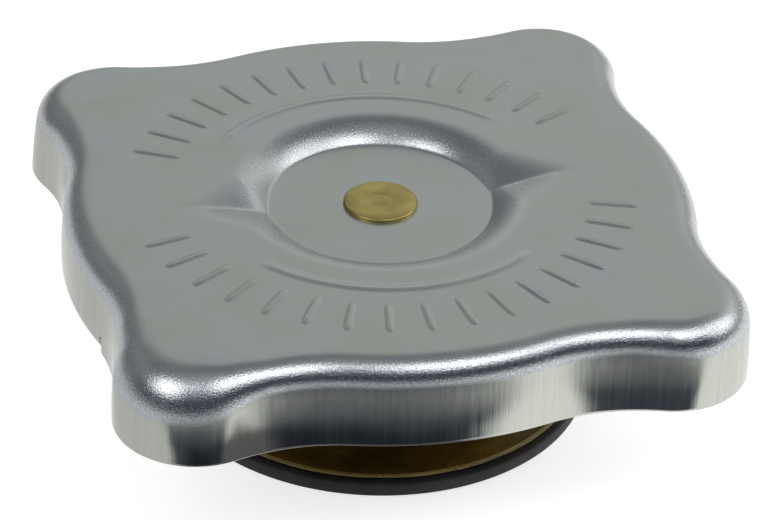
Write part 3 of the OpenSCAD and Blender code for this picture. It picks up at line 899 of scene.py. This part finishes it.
# %% Cage
CAGE_Z, CAGE_H, CAGE_T, CAGE_R, LIP_IN_R = DISC_Z - DISC_T, 12.0, 0.8, 15.0, 12.8
WINDOWS, WINDOW_W, WINDOW_H, CAGE_STEPS = 4, 8.0, 4.6, 192
middle_r = CAGE_R - CAGE_T / 2
low_z, high_z = CAGE_Z - CAGE_H + CAGE_T / 2, CAGE_Z - CAGE_T / 2
window_low, window_high = CAGE_Z - CAGE_H / 2 - WINDOW_H / 2, CAGE_Z - CAGE_H / 2 + WINDOW_H / 2
profile = rounded([(BORE_R, high_z), (middle_r, high_z), (middle_r, window_high),
                   (middle_r, window_low), (middle_r, low_z), (LIP_IN_R, low_z)],
                  [0, 1.6, 0, 0, 0.8, 0], 7, closed=False)


def in_window(face):
    row, column = divmod(face[0], CAGE_STEPS)
    z = (profile[row][1] + profile[row + 1][1]) / 2
    turn = ((column + 0.5) / CAGE_STEPS * WINDOWS + 0.5) % 1.0
    share = WINDOW_W / (2 * math.pi * middle_r / WINDOWS)
    return window_low < z < window_high and min(turn, 1 - turn) < share / 2


cage_faces = [f for f in ring_faces(len(profile), CAGE_STEPS, False) if not in_window(f)]
cage = make_piece("windowed_cage", spun(profile, CAGE_STEPS), cage_faces, pressed_brass)
wall = cage.modifiers.new("wall", "SOLIDIFY")
wall.thickness, wall.offset, wall.use_even_offset = CAGE_T * MM, 0.0, True
freeze(cage, wall)
cage.data.set_sharp_from_angle(angle=SHARP_ANGLE)
dress(cage, "valve_unit", "yellow_brass", "spring_cage")

# %% [markdown]
# ## Valve cup, plate and pressure gasket
# The cup telescopes into the cage and carries the valve plate, a shallow brass dish with a flared rim.
# Under the plate sits the rubber ring that seals on the neck's lower seat. A bevel can't thin the flare
# toward its edge, so that part of the section is computed, and a mask by radius marks the rim, lightened
# partly as wear and partly as a painted highlight.

# %% Pressure valve
PLATE_Z, PLATE_T, PLATE_HOLE_R, PLATE_MID_R = 1.5, 0.6, 3.8, 12.0
CUP_Z, CUP_T, CUP_R, FLANGE_R, FLANGE_GAP = PLATE_Z + PLATE_T, 0.7, 12.4, 13.7, 0.05
FLANGE_Z = CAGE_Z - CAGE_H + CAGE_T + FLANGE_GAP
cup = [(PLATE_HOLE_R, CUP_Z), (CUP_R, CUP_Z), (CUP_R, FLANGE_Z), (FLANGE_R, FLANGE_Z),
       (FLANGE_R, FLANGE_Z + CUP_T), (CUP_R - CUP_T, FLANGE_Z + CUP_T),
       (CUP_R - CUP_T, CUP_Z + CUP_T), (PLATE_HOLE_R, CUP_Z + CUP_T)]
lathe("valve_thimble", rounded(cup, [0, 1.4, 0.15, 0.2, 0.2, 0.5, 0.7, 0], 5), pressed_brass,
      "pressure_valve", "yellow_brass", ["valve_cup"], 160)
FLAT_R, FLARE_R, FLARE_REACH = 20.0, 4.3, 1.9
FLARE = math.degrees(math.asin(FLARE_REACH / FLARE_R))
RIM_T, RIM_STOP, TIP_SHARE = 0.32, 0.96, 0.4
WORN_AND_HIGHLIT_W, WORN_AND_HIGHLIT_FADE = 0.35, 0.15
share = np.linspace(0, RIM_STOP, 9)
turn = np.radians(270 + FLARE * share)
spoke = np.column_stack([np.cos(turn), np.sin(turn)])
thick = PLATE_T + (RIM_T - PLATE_T) * share[:, None] ** 2
flare_c = np.array([FLAT_R, PLATE_Z + FLARE_R])
under, over = flare_c + spoke * FLARE_R, (flare_c + spoke * (FLARE_R - thick))[::-1]
tip = (under[-1] + over[0]) / 2 + np.array([-spoke[-1][1], spoke[-1][0]]) * RIM_T * TIP_SHARE
plate_top = PLATE_Z + PLATE_T
plate = np.concatenate([[(PLATE_HOLE_R, PLATE_Z), (PLATE_MID_R, PLATE_Z)], under, [tip], over,
                        [(PLATE_MID_R, plate_top), (PLATE_HOLE_R, plate_top)]])
dish = lathe("dished_plate", plate, plate_brass, "pressure_valve", "plate_brass", ["valve_plate"], 256)
# The rim mask lightens the plate's rim: partly wear, partly a painted highlight.
write_attribute(dish, "worn_and_highlit", np.clip((vertex_radii(dish) - tip[0] + WORN_AND_HIGHLIT_W) / WORN_AND_HIGHLIT_FADE, 0, 1))
GASKET_R, GASKET_IN_R = 22.4, 11.0
seal = [(GASKET_IN_R, 0), (GASKET_R, 0), (GASKET_R, PLATE_Z), (GASKET_IN_R, PLATE_Z)]
lathe("pressure_seal", rounded(seal, 0.22), rubber, "pressure_valve", "seal_rubber", ["pressure_gasket"], 256)

# %% [markdown]
# ## Vacuum valve
# A small brass disc on a stem closes the hole in the middle of the plate from below. Its stem passes
# through the eyelet and ends in a clip that holds the light vacuum spring. Disc and stem share one
# section, where two cylinders would have to be joined.

# %% Vacuum valve
VACUUM_Z, VACUUM_T, VACUUM_R, STEM_R = 0.25, 0.75, 8.6, 1.5
CLIP_Z, CLIP_T, STEM_END = 8.9, 0.5, 0.7
stem_top = CLIP_Z + CLIP_T + STEM_END
disc_top = VACUUM_Z + VACUUM_T
poppet = rounded([(0, VACUUM_Z), (VACUUM_R, VACUUM_Z), (VACUUM_R, disc_top),
                  (STEM_R, disc_top), (STEM_R, stem_top), (0, stem_top)],
                 [0, 0.2, 0.15, 0.1, 0.3, 0], closed=False)
lathe("vacuum_poppet", poppet, pressed_brass, "vacuum_valve", "yellow_brass", ["vacuum_valve"], 128,
      closed=False)

# %% [markdown]
# ## Wire springs
# Both springs follow one rule: a wire on a helix whose end turns are closed. A Geometry Nodes group
# draws the path from the curve's own parameter and sweeps a round wire along it, so the two
# springs differ only in the values of its inputs.

# %% Springs by Geometry Nodes
WIRE_GAP, WIRE_SIDES, POINTS_A_TURN = 0.05, 14, 60


def build_coil():
    group, start, end, keys = new_geometry_group("Closed-end coil", {
        "Mean Radius": (FLOAT, 0.009), "Wire Radius": (FLOAT, 0.001), "Low": (FLOAT, 0.0),
        "Rise": (FLOAT, 0.01), "Turns": (FLOAT, 5.0), "Closed Pitch": (FLOAT, 0.002),
        "Points": ("NodeSocketInt", 400), "Material": ("NodeSocketMaterial", None)})
    get = start.outputs

    def calc(operation, a, b=None):
        return math_node(group, operation, a, b)

    line = node(group, "GeometryNodeCurvePrimitiveLine")
    fine = node(group, "GeometryNodeResampleCurve", mode="COUNT")
    along = node(group, "GeometryNodeSplineParameter")
    turn = calc("MULTIPLY", along.outputs["Factor"], get["Turns"])
    angle = calc("MULTIPLY", turn, 2 * math.pi)
    first = calc("MINIMUM", turn, 1.0)
    last = calc("MAXIMUM", calc("SUBTRACT", turn, calc("SUBTRACT", get["Turns"], 1.0)), 0.0)
    middle = calc("SUBTRACT", calc("SUBTRACT", turn, first), last)
    ends = calc("MULTIPLY", calc("ADD", first, last), get["Closed Pitch"])
    free_rise = calc("SUBTRACT", get["Rise"], calc("MULTIPLY", get["Closed Pitch"], 2.0))
    pitch = calc("DIVIDE", free_rise, calc("SUBTRACT", get["Turns"], 2.0))
    height = calc("ADD", calc("ADD", ends, calc("MULTIPLY", middle, pitch)), get["Low"])
    spot = node(group, "ShaderNodeCombineXYZ")
    for axis, wave in (("X", "COSINE"), ("Y", "SINE")):
        plug(group, calc("MULTIPLY", calc(wave, angle), get["Mean Radius"]), spot.inputs[axis])
    plug(group, height, spot.inputs["Z"])
    path = node(group, "GeometryNodeSetPosition")
    wire = node(group, "GeometryNodeCurvePrimitiveCircle", mode="RADIUS")
    wire.inputs["Resolution"].default_value = WIRE_SIDES
    sweep = node(group, "GeometryNodeCurveToMesh")
    sweep.inputs["Fill Caps"].default_value = True
    smooth = node(group, "GeometryNodeSetShadeSmooth")
    real = node(group, "GeometryNodeRealizeInstances")
    paint = node(group, "GeometryNodeSetMaterial")
    in_line(group, line, fine, path, sweep, smooth, real, paint, end)
    chain(group,
          (get["Points"], fine.inputs["Count"]),
          (spot.outputs[0], path.inputs["Position"]),
          (get["Wire Radius"], wire.inputs["Radius"]),
          (wire.outputs["Curve"], sweep.inputs["Profile Curve"]),
          (get["Material"], paint.inputs["Material"]))
    return group, keys


coil_group, coil_keys = build_coil()


def wind(name, mean_r, wire_r, low, high, turns):
    spring = grown(name, coil_group, coil_keys, Mean_Radius=mean_r * MM, Wire_Radius=wire_r * MM,
                   Low=(low + wire_r) * MM, Rise=(high - low - 2 * wire_r) * MM, Turns=float(turns),
                   Closed_Pitch=(2 * wire_r + WIRE_GAP) * MM, Points=int(turns * POINTS_A_TURN),
                   Material=spring_steel)
    spring.data.set_sharp_from_angle(angle=SHARP_ANGLE)
    return spring


SPRING_Z, CAGE_UNDER_Z, EYELET_LIP = CUP_Z + CUP_T, CAGE_Z - CAGE_T, 0.5
EYELET_TOP_Z = SPRING_Z + EYELET_LIP
LIFT, OPENING, TURNS = 4.0, 1.5, 5
main_spring = wind("pressure_coil", 9.2, 0.9, SPRING_Z, CAGE_UNDER_Z, TURNS)
dress(main_spring, "valve_unit", "spring_steel", "pressure_spring")
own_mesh(main_spring)
small_spring = wind("vacuum_coil", 4.0, 0.3, EYELET_TOP_Z, CLIP_Z, TURNS)
dress(small_spring, "pressure_valve", "spring_steel", "vacuum_spring")
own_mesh(small_spring)

# %% [markdown]
# ## Small CAD pieces that stay
# The washer, the eyelet, the small seal and the clip are right as the CAD made them, so they only get
# their finishes. Drawing them again would only add faces that hardly show.

# %% Finishes on CAD nodes
for name, material in (("rivet_washer", rivet_brass), ("valve_eyelet", pressed_brass),
                       ("vacuum_seal", rubber), ("vacuum_clip", spring_steel)):
    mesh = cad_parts[name].data
    mesh.materials.clear()
    mesh.materials.append(material)
    print(name, "keeps its CAD shape, in", material.name)

# %% [markdown]
# ## Camera
# The camera was fitted to the outline of the real cap in its picture: where it stands, which way it
# looks, and the small turns that bring the cap to its place in the frame. The lens is long because
# the cap is small and has to fill the frame from about 0.4 m away.

# %% Camera
EYE = Vector((-80.9, -318.0, 226.2)) * MM
AZ, EL, ROLL, YAW, PITCH = -0.2491, 0.5534, 0.0359, 0.0031, -0.0202
LENS, SENSOR, NEAR, FAR = 172.3, 36.0, 0.01, 20.0


def place_camera():
    data = bpy.data.cameras.new("camera")
    data.lens, data.sensor_width = LENS, SENSOR
    data.clip_start, data.clip_end = NEAR, FAR
    camera = add_object("camera", data)
    back = Vector((math.sin(AZ) * math.cos(EL), -math.cos(AZ) * math.cos(EL), math.sin(EL)))
    right = Vector((math.cos(AZ), math.sin(AZ), 0))
    up = back.cross(right)
    look = (-back + YAW * right + PITCH * up).normalized()
    right = look.cross(Vector((0, 0, 1))).normalized()
    up = right.cross(look)
    c, s = math.cos(ROLL), math.sin(ROLL)
    right, up = c * right + s * up, c * up - s * right
    turn = Matrix((right, up, -look)).transposed().to_4x4()
    camera.matrix_world = Matrix.Translation(EYE) @ turn
    bpy.context.scene.camera = camera
    return back


toward_camera = place_camera()
front = Vector((toward_camera.x, toward_camera.y, 0)).normalized()
print("camera", [round(x, 4) for x in EYE])

# %% [markdown]
# ## Lamps and room
# Three soft panels light a grey room. Bright metal looks like what it mirrors, so the room is darker
# behind the camera, on the left and above the far wall, which gives the rolled edge its dark and
# bright bands. Each wall is a ramp over the height of the view, and the walls blend by direction.
# The camera sees plain white, and mirrors that look below the horizon see a share of that white.

# %% Lamps and room
AIM = Vector((0, 0, 0.02))
PANELS = (("right_panel", (0.40, -0.09, 0.37), 0.38, 0.48),
          ("top_panel", (0.13, -0.27, 0.53), 0.27, 0.46),
          ("left_panel", (-0.34, -0.16, 0.44), 0.32, 0.58))
NAVY, SHADE, ZENITH, DUSK = (0.045, 0.05, 0.07), (0.15, 0.155, 0.17), (0.30, 0.31, 0.33), (0.19, 0.195, 0.20)
WHITE = (1.0, 1.0, 1.0)
ABOVE = [(0.74, SHADE), (0.92, SHADE), (1.0, ZENITH)]
FAR_WALL = [(0.0, (0.36, 0.37, 0.36)), (0.32, (0.40, 0.42, 0.41)), (0.43, (0.73, 0.76, 0.74)),
            (0.60, (0.75, 0.78, 0.77))] + ABOVE
LEFT_WALL = [(0.0, (0.36, 0.37, 0.35)), (0.06, DUSK), (0.45, DUSK), (0.62, (0.30, 0.31, 0.31))] + ABOVE
NEAR_WALL = [(0.0, (0.62, 0.65, 0.62)), (0.05, (0.40, 0.42, 0.41)), (0.13, NAVY), (0.55, NAVY),
             (0.78, (0.27, 0.29, 0.32)), (1.0, ZENITH)]
FAR_TO_LEFT, FAR_TO_NEAR, HORIZON = (0.06, -0.16), (-0.25, 0.25), (-0.05, 0.0)
STEEP_TO_SHALLOW, STEEP_FRONT, SHALLOW_FRONT = (-0.52, -0.2), (0.63, 0.71), (0.80, 0.93)
BESIDE, BESIDE_SHARE, FRONT_SHARE = (-0.4, 0.3), (0.57, 0.93), 0.42
FRONT_TURN = math.radians(-8)
STAND_FRONT = Vector((math.sin(FRONT_TURN), -math.cos(FRONT_TURN), 0))


def add_lamp(name, place, size, watts):
    data = bpy.data.lights.new(name, "AREA")
    data.shape, data.size, data.energy = "SQUARE", size, watts
    lamp = add_object(name, data)
    lamp.location = place
    lamp.rotation_mode = "QUATERNION"
    lamp.rotation_quaternion = (AIM - Vector(place)).to_track_quat("-Z", "Y")


def build_room():
    world = bpy.data.worlds.new("room")
    bpy.context.scene.world = world
    world.use_nodes = True
    tree = world.node_tree
    tree.nodes.clear()
    place = node(tree, "ShaderNodeTexCoord").outputs["Generated"]
    apart = node(tree, "ShaderNodeSeparateXYZ")
    tree.links.new(place, apart.inputs[0])
    x, z = apart.outputs["X"], apart.outputs["Z"]

    def toward(axis):
        made = node(tree, "ShaderNodeVectorMath", operation="DOT_PRODUCT")
        made.inputs[1].default_value = axis
        tree.links.new(place, made.inputs[0])
        return made.outputs["Value"]

    walls = [ramp(tree, z, stops) for stops in (FAR_WALL, LEFT_WALL, NEAR_WALL)]
    far = blend_colours(tree, spread(tree, x, *FAR_TO_LEFT), walls[0], walls[1])
    upper = blend_colours(tree, spread(tree, toward(front), *FAR_TO_NEAR), far, walls[2])
    above = spread(tree, z, *HORIZON)
    cards = blend_colours(tree, above, NAVY, upper)
    # How much of the white a mirror sees: less in front of the cap, and none above the horizon.
    ahead = toward(STAND_FRONT)
    beside = spread(tree, x, *BESIDE, *BESIDE_SHARE)
    steep = blend_values(tree, spread(tree, ahead, *STEEP_FRONT), beside, 0.0)
    shallow = blend_values(tree, spread(tree, ahead, *SHALLOW_FRONT), beside, FRONT_SHARE)
    share = blend_values(tree, spread(tree, z, *STEEP_TO_SHALLOW), steep, shallow)
    share = math_node(tree, "MULTIPLY", share, math_node(tree, "SUBTRACT", 1.0, above))
    path = node(tree, "ShaderNodeLightPath").outputs
    mirrored = math_node(tree, "MULTIPLY", path["Is Glossy Ray"], share)
    direct = math_node(tree, "ADD", path["Is Camera Ray"], path["Is Transmission Ray"])
    seen = blend_colours(tree, math_node(tree, "ADD", direct, mirrored, clamp=True), cards, WHITE)
    light = node(tree, "ShaderNodeBackground")
    tree.links.new(seen, light.inputs["Color"])
    out = node(tree, "ShaderNodeOutputWorld")
    tree.links.new(light.outputs[0], out.inputs["Surface"])


for panel in PANELS:
    add_lamp(*panel)
build_room()
bpy.context.scene.view_settings.view_transform = "Standard"
print("lamps:", [panel[0] for panel in PANELS])

# %% [markdown]
# ## Floor and painted shade card
# The pale floor keeps the cap's shadow but is hidden from mirrors, because its even grey would flatten
# the skirt. A soft dark card of painted shade lies in front of the cap and is seen by shiny surfaces alone:
# it stands for the floor near the cap in the cap's own shadow, and gives the skirt its dark lower band.
# It fades out at its front and sides, so that no border shows there.

# %% Floor and painted shade card
FLOOR_HALF, FLOOR_Z, FLOOR_GLOW = 1.5, -0.0003, 0.75
CARD_X, CARD_Y, CARD_Z, CARD_DENSITY = (-44, 14, 30), (-57, -34, 24), 0.4, 0.88
FADE_LEFT, FADE_RIGHT, FADE_SIDE, FADE_NEAR, FADE_FRONT = -38, 12, 8, -56.5, 3


def matte(name, colour):
    material, tree, shader = new_material(name, 0.0, 0.9)
    shader.inputs["Base Color"].default_value = (*colour, 1.0)
    shader.inputs["Specular IOR Level"].default_value = 0.0
    return material, tree, shader


def lay_floor():
    mesh = bpy.data.meshes.new("floor")
    corners = ((-1, -1), (1, -1), (1, 1), (-1, 1))
    mesh.from_pydata([(x * FLOOR_HALF, y * FLOOR_HALF, FLOOR_Z) for x, y in corners], [], [(0, 1, 2, 3)])
    floor = add_object("floor", mesh)
    material, tree, shader = matte("Pale floor", (0.86, 0.86, 0.86))
    path = node(tree, "ShaderNodeLightPath").outputs
    glow = node(tree, "ShaderNodeEmission")
    seen = math_node(tree, "ADD", path["Is Camera Ray"], path["Is Transmission Ray"], clamp=True)
    tree.links.new(math_node(tree, "MULTIPLY", seen, FLOOR_GLOW), glow.inputs["Strength"])
    both = node(tree, "ShaderNodeAddShader")
    tree.links.new(shader.outputs[0], both.inputs[0])
    tree.links.new(glow.outputs[0], both.inputs[1])
    tree.links.new(both.outputs[0], tree.nodes["Material Output"].inputs["Surface"])
    mesh.materials.append(material)
    floor.visible_glossy = False


def lay_shade_card():
    """A dark card of painted shade in front of the cap, that only shiny metal sees: it stands for the floor
    in the cap's own shadow.
    """
    grid = np.array([(x, y, CARD_Z) for x in np.linspace(*CARD_X) for y in np.linspace(*CARD_Y)])
    mesh = bpy.data.meshes.new("flag")
    mesh.from_pydata((grid * MM).tolist(), [], grid_faces(CARD_X[2], CARD_Y[2]))
    x, y = grid.T[:2]
    sides = np.clip((x - FADE_LEFT) / FADE_SIDE, 0, 1) * np.clip((FADE_RIGHT - x) / FADE_SIDE, 0, 1)
    fade = CARD_DENSITY * np.clip((y - FADE_NEAR) / FADE_FRONT, 0, 1) * sides
    flag = add_object("flag", mesh)
    write_attribute(flag, "fade", fade)
    # A dark colour that stands for the floor in the cap's own shadow, as mirrors see it: painted shade.
    material, tree, shader = matte("Painted shade card", (0.02, 0.022, 0.035))
    tree.links.new(painted(tree, "fade"), shader.inputs["Alpha"])
    mesh.materials.append(material)
    flag.visible_camera = flag.visible_diffuse = flag.visible_shadow = flag.visible_transmission = False


lay_floor()
lay_shade_card()
print("floor", 2 * FLOOR_HALF, "m wide, and a card of", CARD_X[2] * CARD_Y[2], "points")
